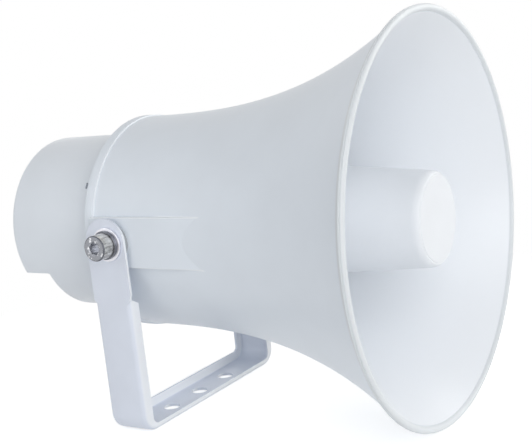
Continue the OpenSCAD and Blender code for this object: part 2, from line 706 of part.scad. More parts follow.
// Socket head cap screws on the pivot axis
module pivot_bolts() color([0.75, 0.74, 0.72]) pivot_pair() {
  under = arm_out + washer_t + spring_washer_t;
  head_round = 0.8;
  translate([0, 0, under - bolt_l]) cylinder(d = bolt_d, h = bolt_l);
  translate([0, 0, under]) difference() {
    union() {
      cylinder(d = head_d, h = head_h - head_round);
      translate([0, 0, head_h - head_round])
        cylinder(d1 = head_d, d2 = head_d - 2 * head_round, h = head_round);
    }
    translate([0, 0, head_h - socket_depth]) rotate([0, 0, 50])
      cylinder(d = socket_af / cos(30), h = socket_depth + over, $fn = 6);
    translate([0, 0, head_h - 0.5])
      cylinder(d1 = socket_af / cos(30) - 0.2, d2 = socket_af / cos(30) + 1, h = 0.5 + 0.01);
  }
}

module spring_washers() color([0.7, 0.69, 0.67]) difference() {
  pivot_disc(spring_washer_d / 2, arm_out + washer_t, arm_out + washer_t + spring_washer_t,
    bolt_d / 2 + 0.1);
  pivot_pair() translate([bolt_d / 2 - 1, -0.5, arm_out + washer_t - 1])
    rotate([0, 18, 0]) cube([6, 0.9, spring_washer_t + 4]);
}

module flat_washers() color([0.78, 0.77, 0.75])
  pivot_disc(washer_d / 2, arm_out, arm_out + washer_t, bolt_d / 2 + 0.15);

module friction_washers() color([0.15, 0.15, 0.16])
  pivot_disc(friction_washer_d / 2, pad_r, arm_in, bolt_d / 2 + 0.1);

module pivot_inserts() color([0.72, 0.6, 0.35])
  pivot_disc(insert_d / 2, pad_r - insert_l, pad_r, bolt_d / 2);

bell();
tone_arm();
reflector_cup();
tone_arm_screws();
throat_gasket();
driver_front();
phase_plug();
diaphragm();
voice_coil();
surround();
top_plate();
magnet();
back_plate();
driver_screws();
terminal_block();
transformer_core();
transformer_winding();
transformer_strap();
transformer_screws();
rear_cover();
cover_gasket();
cover_screws();
cable_gland();
gland_seal();
gland_cap();
gland_nut();
bracket();
pivot_bolts();
spring_washers();
flat_washers();
friction_washers();
pivot_inserts();
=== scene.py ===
"""Looks of the public address horn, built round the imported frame. Sizes are in millimetres, and MM turns
them into metres. Stations along the horn's axis are measured from the tilt pivot, towards the mouth."""
import json
import math

import bmesh
import bpy
from mathutils import Matrix, Vector


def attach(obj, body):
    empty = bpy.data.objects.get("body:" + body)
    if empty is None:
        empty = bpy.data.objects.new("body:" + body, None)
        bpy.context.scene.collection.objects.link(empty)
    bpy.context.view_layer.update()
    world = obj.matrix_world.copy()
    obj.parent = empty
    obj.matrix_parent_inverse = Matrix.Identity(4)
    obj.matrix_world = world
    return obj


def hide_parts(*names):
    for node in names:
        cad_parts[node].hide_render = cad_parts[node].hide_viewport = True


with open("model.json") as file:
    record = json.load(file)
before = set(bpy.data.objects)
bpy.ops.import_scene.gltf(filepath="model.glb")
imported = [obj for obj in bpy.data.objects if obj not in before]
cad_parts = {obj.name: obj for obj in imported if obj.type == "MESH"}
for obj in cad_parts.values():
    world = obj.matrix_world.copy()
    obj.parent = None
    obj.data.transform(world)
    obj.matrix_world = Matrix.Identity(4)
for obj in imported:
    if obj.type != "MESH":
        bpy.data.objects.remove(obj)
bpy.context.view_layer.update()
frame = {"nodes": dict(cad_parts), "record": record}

MM = 0.001
PIVOT_X = 2.6
PIVOT_H = 105.0
PIVOT = Vector((PIVOT_X, 0, PIVOT_H)) * MM
# How far a cutter reaches past the face that it opens
PAST = 1.0

# Bell
MOUTH_R = 105.0
LIP_R = 1.9
LIP_GROOVE = 0.3
NECK_R = 60.0
BAND_R = 60.75
BACK_EDGE = 0.5
BAND_EDGE = 0.15
BELL_WALL = 2.5
X_BACK = -19.6
X_FLOOR = -12.6
X_BAND = -13.6
X_LIP = 159.0
FLARE_POWER = 2.65
FLARE_END_R = MOUTH_R - 0.55 * LIP_R
BOTTOM_ROUND = 12.0
SOCKET_R = 10.55
# Side pads, which grow a little thicker ahead of the bracket's arms
PAD_Y = 62.0
PAD_FRONT_Y = 62.65
PAD_FRONT_X = 11.2
PAD_TAPER = 20.0
PAD_INTO_FLARE = 4.0
PAD_H = 27.0
PAD_EDGE = 0.3
INSERT_R = 6.0
INSERT_L = 10.0
INSERT_BOSS_R = 9.0
INSERT_BOSS_Y = (50.0, 59.0)
# Reflector cup
X_CUP_FACE = 158.5
X_CUP_REAR = 8.0
CUP_FRONT_R = 24.1
CUP_REAR_R = 35.0
CUP_WALL = 2.2
CUP_EDGE = 3.6
CUP_REAR_EDGE = 0.4
SHOULDER_L = 5.2
SHOULDER_H = 2.6
# The fine line round the cup's face: its depth, and its two edges inwards from the cup's side
LINE_DEPTH = 0.35
LINE_OUT = 2.5
LINE_IN = 2.8
# Rear cover
X_COVER = -85.8
X_RECESS = -65.3
X_BOSS = -31.1
COVER_R = 50.4
COVER_FRONT_R = 50.8
COVER_WALL = 2.5
COVER_EDGE = 4.0
COVER_FRONT_EDGE = 0.3
CAVITY_EDGE = 1.5
RECESS_Z = -22.6
RECESS_EDGE = 1.2
SCREW_RING = 43.0
SCREW_ANGLES = (-15, 60, 120, 195)
BOSS_R = 5.2
BOSS_ROOT = 1.5
BOSS_FLOOR = 3.0
SCREW_HEAD_R = 3.9
SCREW_R = 2.2
PRY_L = 11.0
PRY_W = 3.4
PRY_DEPTH = 3.5
PRY_ANGLE = math.radians(-33)
GLAND_Z = -36.5
GLAND_R = 6.05
# Bracket, from the origin of the frame
ARM_OUT = 65.5
SHEET = 1.5
STRIP_W = 24.4
FOLD_DEPTH = 6.8
FOLD_R = 2.8
BEND_R = 10.0
LIP_H = 3.7
LIP_CORNER = 4.0
NOTCH_TOP = 22.0
FOLD_TOP = 75.0
FOLD_TAPER = 4.0
EAR_W = 25.4
EAR_RISE = 1.0
HOLE_R = 4.75
HOLE_PITCH = 27.4
# Pivot hardware, from the horn axis outwards
BOLT_R = 4.0
BOLT_L = 16.0
BOLT_TIP = 0.6
HEAD_R = 6.8
HEAD_H = 7.8
HEAD_ROUND = 0.8
HEAD_UNDER_EDGE = 0.2
SOCKET_FUNNEL = 0.45
SOCKET_AF = 6.0
SOCKET_DEPTH = 4.0
SOCKET_TURN = math.radians(50)
FLAT_R = 9.0
FLAT_T = 1.6
FLAT_EDGE = 0.25
SPRING_R = 7.7
SPRING_T = 1.8
SPRING_EDGE = 0.2
SPRING_ARC = math.radians(351)
SPRING_START = math.radians(150)


# Shader maths
class Sock:
    """A node's output with arithmetic: each operator adds one Math node to the same finish."""

    def __init__(self, finish, out):
        self.finish = finish
        self.out = out

    def _math(self, operation, a, b=0.0):
        return self.finish.add("ShaderNodeMath", {"operation": operation}, {0: a, 1: b})

    def __add__(self, other):
        return self._math("ADD", self, other)

    def __radd__(self, other):
        return self._math("ADD", other, self)

    def __sub__(self, other):
        return self._math("SUBTRACT", self, other)

    def __rsub__(self, other):
        return self._math("SUBTRACT", other, self)

    def __mul__(self, other):
        return self._math("MULTIPLY", self, other)

    def __rmul__(self, other):
        return self._math("MULTIPLY", other, self)

    def __abs__(self):
        return self._math("ABSOLUTE", self)


class Finish:
    """The nodes of a material or world: add() makes any node, and shader() fills the Principled shader."""

    def __init__(self, name, world=None):
        self.material = world or bpy.data.materials.new(name)
        self.material.use_nodes = True
        self.tree = self.material.node_tree
        self.bsdf = self.tree.nodes.get("Principled BSDF")
        self.output = self.tree.nodes["World Output" if world else "Material Output"]

    def add(self, kind, settings=None, inputs=None, out=0):
        """A node of a kind, its settings first and then its sockets' values or links; gives one output."""
        node = self.tree.nodes.new(kind)
        for name, value in (settings or {}).items():
            setattr(node, name, value)
        for name, value in (inputs or {}).items():
            self.feed(node.inputs[name], value)
        return Sock(self, node.outputs[out])

    def feed(self, socket, value):
        if isinstance(value, Sock):
            self.tree.links.new(value.out, socket)
        else:
            socket.default_value = value

    def shader(self, **inputs):
        for name, value in inputs.items():
            self.feed(self.bsdf.inputs[name.replace("_", " ")], value)
        return self

    def spot(self):
        """Object coordinates, in metres from the frame's origin."""
        return self.add("ShaderNodeTexCoord", out="Object")

    def noise(self, grain, detail=2.0, stretch=(1, 1, 1), rough=0.5):
        """Noise with a grain in millimetres."""
        return self.add("ShaderNodeTexNoise", inputs={
            "Vector": self.in_millimetres(stretch), "Scale": 1.0 / grain, "Detail": detail,
            "Roughness": rough})

    def in_millimetres(self, stretch=(1, 1, 1)):
        return self.add("ShaderNodeMapping", inputs={"Vector": self.spot(), "Scale": Vector(stretch) / MM})

    def between(self, value, low, high, out_low=0.0, out_high=1.0):
        return self.add("ShaderNodeMapRange", inputs={
            "Value": value, "From Min": low, "From Max": high, "To Min": out_low, "To Max": out_high})

    def spread(self, noise, low=0.0, high=1.0):
        """The middle of a noise's range turned into low to high."""
        return self.between(noise, 0.3, 0.7, low, high)

    def fade(self, length, start, end):
        """0 where a length in metres is at start and 1 where it is at end, both in millimetres."""
        return self.between(length, start * MM, end * MM)

    def mix(self, share, first, second):
        """The first colour turning into the second as the share goes from 0 to 1."""
        first, second = (c if isinstance(c, Sock) else (*c, 1) for c in (first, second))
        return self.add("ShaderNodeMix", {"data_type": "RGBA"}, {0: share, 6: first, 7: second}, out=2)

    def vector(self, operation, first, second, out="Vector"):
        return self.add("ShaderNodeVectorMath", {"operation": operation}, {0: first, 1: second}, out=out)

    def parts(self, vector):
        return [self.add("ShaderNodeSeparateXYZ", inputs={"Vector": vector}, out=axis) for axis in "XYZ"]

    def outwards(self, square, centre):
        """The vector from an axis through centre, and its length; square is 1 in directions across it."""
        flat = self.vector("MULTIPLY", self.spot(), square)
        return self.vector("SUBTRACT", flat, centre), self.vector("DISTANCE", flat, centre, out="Value")

    def bump(self, height, depth, edge=None):
        """Normals raised by a height of some depth, over edges rounded by a radius, both in millimetres."""
        inputs = {"Height": height, "Distance": depth * MM, "Strength": 1.0}
        if edge:
            inputs["Normal"] = self.add("ShaderNodeBevel", {"samples": 6}, {"Radius": edge * MM})
        return self.add("ShaderNodeBump", inputs=inputs)

    def seen(self):
        """1 for what the camera sees straight, in a reflection or through something."""
        camera, glossy, through = (self.add("ShaderNodeLightPath", out=name) for name in (
            "Is Camera Ray", "Is Glossy Ray", "Is Transmission Ray"))
        return camera + glossy + through


def srgb(r, g, b):
    """A colour as seen on screen, 0 to 255, turned into the shader's linear numbers."""
    def linear(v):
        v = v / 255
        return v / 12.92 if v <= 0.04045 else ((v + 0.055) / 1.055) ** 2.4
    return (linear(r), linear(g), linear(b))


def darker(colour, share):
    return tuple(c * share for c in colour)


# Finishes
def moulded(name, colour, roughness, mottle=0.02, peel=0.012):
    """Moulded plastic: even colour with a faint cloud, slightly uneven gloss and a fine skin."""
    f = Finish(name)
    cloud = f.noise(grain=38, detail=3)
    skin = f.noise(grain=1.6, detail=2)
    fine = f.noise(grain=0.35, detail=1)
    base = f.mix(f.spread(cloud), darker(colour, 1 - 2 * mottle), colour)
    gloss = f.spread(cloud, roughness - 0.03, roughness + 0.03) + (skin - 0.5) * 0.06
    normal = f.bump(skin + fine * 0.4, peel, edge=0.12)
    return f.shader(Base_Color=base, Roughness=gloss, Normal=normal)


def bell_plastic(name, colour, roughness):
    """The bell's plastic, lighter inside the mouth with painted light, greyer on the lip with painted shade,
    and with painted highlight lines along the band's front edge and along the edges of the side pads."""
    f = moulded(name, colour, roughness)
    # How strongly the painted highlight lines show
    highlight_line_cover = 0.7
    x, y, z = f.parts(f.spot())
    side = abs(y)
    outwards, radius = f.outwards((0, 1, 1), (0, 0, PIVOT.z))

    # Painted highlight lines along the pads' top and bottom edges
    from_pad_edge = abs(abs(z - PIVOT.z) - PAD_H / 2 * MM)
    on_pad = f.fade(side, NECK_R - 0.7, NECK_R - 0.3) * f.fade(side, PAD_FRONT_Y + 0.3, PAD_FRONT_Y + 0.1)
    pad_highlight_lines = f.fade(from_pad_edge, 0.55, 0.35) * on_pad * highlight_line_cover
    # A painted highlight line along the band's front edge
    from_band_edge = abs(x - (PIVOT.x + (X_BAND + 0.1) * MM))
    on_band = f.fade(radius, BAND_R + 0.75, BAND_R + 0.45)
    band_highlight_line = f.fade(from_band_edge, 0.3, 0.2) * on_band * highlight_line_cover

    # Negative where the surface looks at the axis: a unit normal times a radius in metres
    facing = f.vector("DOT_PRODUCT", f.add("ShaderNodeTexCoord", out="Normal"), outwards, out="Value")
    # Inside the mouth, where painted light brightens the plastic
    in_mouth = f.fade(facing, 0, -6) * f.fade(x, PIVOT_X, PIVOT_X + 10)
    # On the lip, where painted shade greys the plastic
    ahead = f.fade(x, PIVOT_X + X_LIP - 3.2, PIVOT_X + X_LIP - 2.6)
    on_lip = ahead * f.fade(radius, MOUTH_R - 4.1, MOUTH_R - 3.7)

    base = Sock(f, f.bsdf.inputs["Base Color"].links[0].from_socket)
    # Painted light brightens the inside of the mouth
    base = f.mix(in_mouth, base, srgb(240, 244, 249))
    # Painted shade greys the lip
    base = f.mix(on_lip, base, srgb(222, 227, 231))
    # The painted highlight lines over everything else
    lines = f.add("ShaderNodeMath", {"operation": "MAXIMUM"}, {0: pad_highlight_lines, 1: band_highlight_line})
    return f.shader(Base_Color=f.mix(lines, base, srgb(247, 251, 255)))


def powder_coat(name, colour):
    """Powder coat on steel: a low orange peel with a satin gloss, with painted light where it faces ahead.
    """
    f = Finish(name)
    peel = f.noise(grain=1.1, detail=2)
    cloud = f.noise(grain=20, detail=2)
    ahead = f.parts(f.add("ShaderNodeNewGeometry", out="Normal"))[0]
    base = f.mix(f.spread(cloud), darker(colour, 0.96), colour)
    # Painted light: faces that point ahead turn nearly white
    base = f.mix(f.between(ahead, 0.7, 0.97), base, srgb(247, 250, 254))
    normal = f.bump(peel, 0.02, edge=0.15)
    return f.shader(Base_Color=base, Roughness=f.spread(peel, 0.3, 0.4), Normal=normal)


def bright_steel(name, colour, roughness, grain=0.25):
    """Steel with fine tool marks and small dull patches."""
    f = Finish(name)
    marks = f.noise(grain, detail=3)
    patch = f.noise(grain=2.4, detail=2)
    base = f.mix(f.between(patch, 0.35, 0.7), colour, darker(colour, 0.82))
    gloss = f.spread(marks, roughness - 0.06, roughness + 0.08) + (patch - 0.5) * 0.1
    normal = f.bump(marks, 0.006, edge=0.15)
    return f.shader(Base_Color=base, Metallic=1.0, Roughness=gloss, Normal=normal)


def cap_screw(name):
    """Head of the pivot bolts, with painted reflections: a dark end face with painted glints as bright dots,
    a rim darkened by painted reflection, a paler socket of painted shade, and a side with painted streak
    highlights over drawn marks."""
    f = Finish(name)
    end = ARM_OUT + FLAT_T + SPRING_T + HEAD_H
    out = abs(f.parts(f.spot())[1])
    radius = f.outwards((1, 0, 1), (PIVOT.x, 0, PIVOT.z))[1]
    on_end = f.fade(out, end - 0.75, end - 0.55)
    in_socket = f.fade(radius, 3.7, 3.3) * f.fade(out, end - 0.4, end - 0.6)
    on_rim = f.fade(radius, 5.9, 6.5)
    # Drawn marks in the gloss and bumps, which also paint highlight streaks on the side
    marks_and_streak_sheen = f.noise(grain=1.4, detail=3, stretch=(1, 0.25, 1), rough=0.6)
    # Painted glints on the end face
    glint_dots = f.between(f.noise(grain=2.2, detail=1), 0.58, 0.66)
    side = f.mix(f.between(marks_and_streak_sheen, 0.38, 0.62), srgb(172, 169, 165), srgb(228, 227, 224))
    # The end face darker than the side, and its rim darker still: painted reflections
    face = f.mix(glint_dots, srgb(152, 154, 160), srgb(236, 237, 241))
    face = f.mix(on_rim, face, srgb(88, 90, 97))
    # The socket's even grey is painted shade
    base = f.mix(in_socket, f.mix(on_end, side, face), srgb(178, 180, 186))
    return f.shader(Base_Color=base, Metallic=1.0, Roughness=f.spread(marks_and_streak_sheen, 0.2, 0.36),
                    Normal=f.bump(marks_and_streak_sheen, 0.02, edge=0.15))


def banded(name, colour, direction, scale, distortion, dark, metallic, gloss, depth):
    """Fine parallel bands, which are dark and dull between and bright and glossy on top."""
    f = Finish(name)
    bands = f.add("ShaderNodeTexWave", {"bands_direction": direction}, {
        "Vector": f.in_millimetres(), "Scale": scale, "Distortion": distortion})
    return f.shader(Base_Color=f.mix(bands, darker(colour, dark), colour), Metallic=metallic,
                    Roughness=f.between(bands, 0, 1, *gloss), Normal=f.bump(bands, depth))


def laminated(name, colour):
    """Stacked sheets of core steel, seen as fine lines."""
    return banded(name, colour, "Z", 0.6, 0.4, dark=0.6, metallic=0.7, gloss=(0.55, 0.35), depth=0.05)


def wound(name, colour):
    """Enamelled copper wire laid side by side."""
    return banded(name, colour, "X", 0.8, 0.3, dark=0.5, metallic=0.8, gloss=(0.5, 0.28), depth=0.08)


# The finish of each material slot
FINISHES = {
    "white_plastic": moulded("white_plastic", srgb(233, 239, 246), 0.36),
    "white_paint": powder_coat("white_paint", srgb(229, 235, 247)),
    "black_rubber": moulded("black_rubber", srgb(38, 38, 40), 0.7, mottle=0.1, peel=0.03),
    "black_plastic": moulded("black_plastic", srgb(44, 44, 47), 0.45, mottle=0.06, peel=0.02),
    "phenolic": moulded("phenolic", srgb(120, 84, 50), 0.55, mottle=0.12, peel=0.02),
    "stainless": bright_steel("stainless", srgb(205, 203, 200), 0.22),
    "screw_steel": bright_steel("screw_steel", srgb(214, 215, 218), 0.3),
    "plated_steel": bright_steel("plated_steel", srgb(206, 208, 212), 0.35, grain=0.5),
    "ferrite": moulded("ferrite", srgb(66, 66, 70), 0.6, mottle=0.15, peel=0.04),
    "brass": bright_steel("brass", srgb(208, 176, 112), 0.28),
    "laminations": laminated("laminations", srgb(120, 120, 124)),
    "copper": wound("copper", srgb(200, 128, 76))}

# Pieces whose finish differs from that of their slot
bell_white = bell_plastic("bell_white", srgb(232, 239, 247), 0.36)
cup_white = moulded("cup_white", srgb(238, 242, 247), 0.4)
grey_rubber = moulded("grey_rubber", srgb(176, 180, 184), 0.7, mottle=0.08, peel=0.03)
bolt_steel = cap_screw("bolt_steel")
# A darker copy of the stainless for the spring washers: painted shade under the bolt heads
shaded_steel = bright_steel("shaded_steel", srgb(118, 120, 127), 0.26)
# A paler copy of the stainless for the flat washers: painted light
lit_steel = bright_steel("lit_steel", srgb(236, 236, 242), 0.34, grain=0.5)


# Mesh helpers
def arc(cx, cr, radius, start, end, count):
    """Points (station, radius) of an arc; angles in degrees, from the radial direction towards the mouth."""
    turns = [math.radians(start + (end - start) * i / count) for i in range(count + 1)]
    return [(cx + radius * math.sin(t), cr + radius * math.cos(t)) for t in turns]


def of_kind(geometry, kind):
    return [g for g in geometry if isinstance(g, kind)]


def clean(bm):
    """Points at one place become one, and all faces point outwards."""
    bmesh.ops.remove_doubles(bm, verts=bm.verts, dist=1e-7)
    bmesh.ops.dissolve_degenerate(bm, edges=bm.edges, dist=1e-8)
    bmesh.ops.recalc_face_normals(bm, faces=bm.faces)
    return bm


def closed_loop(bm, points):
    verts = [bm.verts.new(point) for point in points]
    return verts, [bm.edges.new(pair) for pair in zip(verts, verts[1:] + verts[:1])]


def turned(outline, steps, axis=(1, 0, 0), angle=math.tau, start=0.0):
    """A bmesh of a closed outline of (station, radius) points, turned about an axis through the pivot."""
    bm = bmesh.new()
    axis = Vector(axis)
    out = Matrix.Rotation(start, 3, axis) @ Vector((0, 0, 1))
    verts, edges = closed_loop(bm, [PIVOT + (axis * x + out * r) * MM for x, r in outline])
    whole = angle == math.tau
    if not whole:
        bm.faces.new(verts)
    last = bmesh.ops.spin(bm, geom=verts + edges, cent=PIVOT, axis=axis, angle=angle, steps=steps,
                          use_merge=whole)["geom_last"]
    if not whole:
        bmesh.ops.contextual_create(bm, geom=of_kind(last, bmesh.types.BMEdge))
    return clean(bm)


def rounded(bm, edges, radius, segments):
    """Some edges of a bmesh rounded by a radius (mm)."""
    bmesh.ops.bevel(bm, geom=edges, offset=radius * MM, segments=segments, profile=0.5, affect="EDGES",
                    material=-1)
    return bm


def block(low, high, edge=0.0):
    """A bmesh box between two frame points (mm), its edges rounded if an edge radius is given."""
    bm = bmesh.new()
    low, high = Vector(low) * MM, Vector(high) * MM
    bmesh.ops.create_cube(bm, size=1)
    bmesh.ops.scale(bm, vec=high - low, verts=bm.verts)
    bmesh.ops.translate(bm, vec=(low + high) / 2, verts=bm.verts)
    return rounded(bm, list(bm.edges), edge, segments=4) if edge else bm


def prism(points, depth):
    """A flat outline of frame points (mm) pushed along a vector (mm) to a solid."""
    bm = bmesh.new()
    face = bm.faces.new([bm.verts.new(Vector(p) * MM) for p in points])
    moved = bmesh.ops.extrude_face_region(bm, geom=[face])["geom"]
    bmesh.ops.translate(bm, vec=Vector(depth) * MM, verts=of_kind(moved, bmesh.types.BMVert))
    bmesh.ops.recalc_face_normals(bm, faces=bm.faces)
    return bm


def peg(centre, axis, radius, length, sides=48, turn=0.0):
    """A cylinder, or a bar with a few sides, that starts at a frame point (mm) and runs along an axis."""
    bm = bmesh.new()
    bmesh.ops.create_cone(bm, cap_ends=True, segments=sides, radius1=radius * MM, radius2=radius * MM,
                          depth=length * MM)
    bmesh.ops.translate(bm, vec=(0, 0, length * MM / 2), verts=bm.verts)
    bmesh.ops.rotate(bm, matrix=Matrix.Rotation(turn, 3, "Z"), verts=bm.verts)
    facing = Vector(axis).to_track_quat("Z", "X").to_matrix()
    bmesh.ops.rotate(bm, matrix=facing, verts=bm.verts)
    bmesh.ops.translate(bm, vec=Vector(centre) * MM, verts=bm.verts)
    return bm


def horn(x, y, z):
    """A frame point (mm) from one measured from the pivot."""
    return (x + PIVOT_X, y, z + PIVOT_H)


def put_in_order(elements, place):
    """Sorts a bmesh's points or faces by place, so that each run gives the same mesh."""
    rank = {element: i for i, element in enumerate(sorted(elements, key=place))}
    elements.sort(key=rank.get)


def to_object(name, bm):
    put_in_order(bm.verts, lambda vert: vert.co.to_tuple(7))
    put_in_order(bm.faces, lambda face: face.calc_center_median().to_tuple(7))
    mesh = bpy.data.meshes.new(name)
    bm.to_mesh(mesh)
    bm.free()
    obj = bpy.data.objects.new(name, mesh)
    bpy.context.scene.collection.objects.link(obj)
    return obj


def combine(obj, operation, *cutters):
    """Applies booleans with further bmeshes to an object, one after another."""
    for bm in cutters:
        other = to_object("cutter", bm)
        boolean = obj.modifiers.new("cut", "BOOLEAN")
        boolean.operation = operation
        boolean.solver = "EXACT"
        boolean.object = other
        graph = bpy.context.evaluated_depsgraph_get()
        mesh = bpy.data.meshes.new_from_object(obj.evaluated_get(graph))
        obj.modifiers.clear()
        obj.data = mesh
        bpy.data.objects.remove(other)
    return obj


def cut(obj, *cutters):
    return combine(obj, "DIFFERENCE", *cutters)


def join(obj, *additions):
    return combine(obj, "UNION", *additions)


def finished(obj, body, slot, *nodes, look=None, angle=32, flat=None):
    """Smooth shading with sharp edges kept, the material, and the piece's place in the frame. The flat test
    names the faces that stay flat."""
    mesh = obj.data
    mesh.shade_smooth()
    mesh.set_sharp_from_angle(angle=math.radians(angle))
    if flat:
        for face in filter(flat, mesh.polygons):
            face.use_smooth = False
    mesh.materials.clear()
    mesh.materials.append((look or FINISHES[slot]).material)
    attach(obj, body)
    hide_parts(*nodes)
    return obj


# Bell
def flare(u):
    """Outer radius of the bell at a share u of the way from the band to the lip."""
    return NECK_R + (FLARE_END_R - NECK_R) * u ** FLARE_POWER


def flare_slope(u):
    return (FLARE_END_R - NECK_R) * FLARE_POWER * u ** (FLARE_POWER - 1) / (X_LIP - X_BAND)


def flare_x(u):
    return X_BAND + u * (X_LIP - X_BAND)


def flare_at(r):
    """Station at which the bell's outside reaches a radius."""
    return flare_x(((r - NECK_R) / (FLARE_END_R - NECK_R)) ** (1 / FLARE_POWER))


def inner(u):
    return flare(u) - BELL_WALL * math.hypot(1, flare_slope(u))


def bell_outside():
    lip_r = MOUTH_R - LIP_R
    return ([(X_BACK, 0), (X_BACK, BAND_R - BACK_EDGE)]
            + arc(X_BACK + BACK_EDGE, BAND_R - BACK_EDGE, BACK_EDGE, -90, 0, 4)[1:]
            + arc(X_BAND - BAND_EDGE, BAND_R - BAND_EDGE, BAND_EDGE, 0, 90, 2)
            + [(X_BAND, NECK_R + 0.02), (X_BAND + 0.1, NECK_R)]
            + [(flare_x(i / 72), flare(i / 72)) for i in range(1, 73)]
            + arc(X_LIP, lip_r, LIP_R, -20, 6, 3)
            + arc(X_LIP, lip_r, LIP_R - LIP_GROOVE, 12, 16, 1)
            + arc(X_LIP, lip_r, LIP_R, 22, 180, 14) + [(X_LIP, 0)])


def bell_inside():
    """The hollow: a round bottom, the flare's inner side, and a straight run out through the lip."""
    past_lip = 6
    centre_r = inner(0) - BOTTOM_ROUND
    u0 = (X_FLOOR + BOTTOM_ROUND - X_BAND) / (X_LIP - X_BAND)
    shares = [u0 + (1 - u0) * i / 64 for i in range(1, 65)]
    return ([(X_FLOOR, 0)] + arc(X_FLOOR + BOTTOM_ROUND, centre_r, BOTTOM_ROUND, -90, 0, 10)
            + [(flare_x(u), inner(u)) for u in shares]
            + [(X_LIP + past_lip, inner(1) + past_lip * flare_slope(1)), (X_LIP + past_lip, 0)])


def side_pads():
    """Both pads as one flat bar through the bell, with the long edges rounded."""
    reach = flare_at(math.hypot(PAD_FRONT_Y, PAD_H / 2)) + PAD_INTO_FLARE
    half = [(X_BAND - 0.2, PAD_Y), (PAD_FRONT_X, PAD_Y), (PAD_FRONT_X + PAD_TAPER, PAD_FRONT_Y),
            (reach, PAD_FRONT_Y)]
    outline = half + [(x, -y) for x, y in reversed(half)]
    pads = prism([horn(x, y, -PAD_H / 2) for x, y in outline], (0, 0, PAD_H))
    long_edges = [e for e in pads.edges if abs(e.verts[0].co.z - e.verts[1].co.z) < 1e-6
                  and abs(e.verts[0].co.y + e.verts[1].co.y) > 0.1]
    return rounded(pads, long_edges, PAD_EDGE, 2)


def on_side_pad(face):
    return abs(face.normal.y) > 0.999 and abs(abs(face.center.y) - PAD_Y * MM) < MM


def make_bell():
    obj = to_object("bell_shell", turned(bell_outside(), 192))
    join(obj, side_pads())
    cut(obj, turned(bell_inside(), 192))
    boss_from, boss_to = INSERT_BOSS_Y
    for side in (-1, 1):
        join(obj, peg(horn(0, side * boss_from, 0), (0, side, 0), INSERT_BOSS_R, boss_to - boss_from))
        cut(obj, peg(horn(0, side * (PAD_Y - INSERT_L), 0), (0, side, 0), INSERT_R, INSERT_L + PAST))
    cut(obj, peg(horn(X_BACK - PAST, 0, 0), (1, 0, 0), SOCKET_R, X_FLOOR - X_BACK + 2 * PAST))
    return finished(obj, "horn", "white_plastic", "bell", look=bell_white, flat=on_side_pad)


# Reflector cup
def cup_radius(x):
    return CUP_REAR_R + (CUP_FRONT_R - CUP_REAR_R) * (x - X_CUP_REAR) / (X_CUP_FACE - X_CUP_REAR)


def cup_shoulder(side_r):
    """The round from the cup's side to its face: a long flat curve, cut short by the fine line."""
    x, r = X_CUP_FACE - SHOULDER_L, side_r - SHOULDER_H
    turns = [math.radians(a) for a in range(0, 73, 8)]
    curve = [(x + SHOULDER_L * math.sin(t), r + SHOULDER_H * math.cos(t)) for t in turns]
    return curve + [(X_CUP_FACE - LINE_DEPTH, side_r - LINE_OUT), (X_CUP_FACE, side_r - LINE_IN)]


def make_cup():
    front = cup_radius(X_CUP_FACE - CUP_EDGE)
    bend = CUP_EDGE - CUP_WALL
    x_inside = X_CUP_FACE - CUP_WALL
    rear_in = CUP_REAR_R - CUP_WALL
    rear_edge = [(X_CUP_REAR + CUP_REAR_EDGE, rear_in), (X_CUP_REAR, rear_in + CUP_REAR_EDGE),
                 (X_CUP_REAR, CUP_REAR_R - CUP_REAR_EDGE), (X_CUP_REAR + CUP_REAR_EDGE, CUP_REAR_R)]
    outline = ([(x_inside, 0)] + arc(x_inside - bend, front - CUP_WALL - bend, bend, 90, 0, 5)
               + rear_edge + cup_shoulder(front) + [(X_CUP_FACE, 0)])
    return finished(to_object("reflector", turned(outline, 128)), "horn", "white_plastic", "reflector_cup",
                    look=cup_white)


# Rear cover
def cover_outside():
    edge = COVER_FRONT_EDGE
    return ([(X_COVER, 0)] + arc(X_COVER + COVER_EDGE, COVER_R - COVER_EDGE, COVER_EDGE, -90, 0, 10)
            + [(X_BACK - edge, COVER_FRONT_R), (X_BACK, COVER_FRONT_R - edge), (X_BACK, 0)])


def cover_cavity():
    back, side = X_COVER + COVER_WALL, COVER_R - COVER_WALL
    return [(back, 0), (back, side - CAVITY_EDGE), (back + CAVITY_EDGE, side),
            (X_BACK + PAST, COVER_FRONT_R - COVER_WALL), (X_BACK + PAST, 0)]


def recess(grow):
    """The block that the cable's recess takes away, larger by the wall where it shapes the cavity."""
    behind, beside, below = 5, 70, 120
    return block(horn(X_COVER - behind, -beside, -below), horn(X_RECESS + grow, beside, RECESS_Z + grow),
                 RECESS_EDGE)


def pry_slot():
    slot = block(horn(X_BACK - PRY_L, -COVER_FRONT_R - PAST, -PRY_W / 2),
                 horn(X_BACK + PAST, -COVER_FRONT_R + PRY_DEPTH, PRY_W / 2))
    bmesh.ops.rotate(slot, cent=PIVOT, matrix=Matrix.Rotation(PRY_ANGLE, 3, "X"), verts=slot.verts)
    return slot


